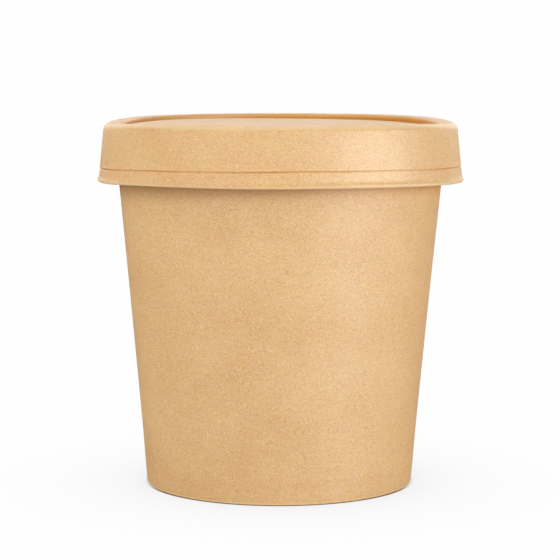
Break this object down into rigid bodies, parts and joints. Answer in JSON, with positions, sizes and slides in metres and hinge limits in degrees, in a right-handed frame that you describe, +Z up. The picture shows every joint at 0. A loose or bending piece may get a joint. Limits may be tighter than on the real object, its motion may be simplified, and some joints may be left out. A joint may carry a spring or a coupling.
{
  "type": "paper ice cream tub",
  "caption": "Round tapered kraft paperboard tub for ice cream with a curled rim, a folded foot and a press-on paper lid that lifts off.",
  "frame": {"origin": "the middle of the foot, on the surface that the tub stands on", "axes": "+Z up along the tub's axis; -Y faces the picture's camera; the glued seams are at the back, towards +Y"},
  "size_m": [0.102, 0.102, 0.1019],
  "materials": {
    "kraft_wall": "uncoated brown kraft outside, thin film inside",
    "kraft_bottom": "uncoated brown kraft, thin film on the inside face",
    "kraft_lid_ring": "uncoated brown kraft, matt",
    "kraft_lid_disc": "uncoated brown kraft, matt"
  },
  "bodies": {
    "tub": {"tub_wall": "kraft_wall", "tub_bottom": "kraft_bottom"},
    "lid": {"lid_ring": "kraft_lid_ring", "lid_disc": "kraft_lid_disc"}
  },
  "joints": [
    {"name": "lid_lift", "type": "slide", "parent": "tub", "child": "lid", "axis": [0, 0, 1], "range_m": [0, 0.035]}
  ]
}
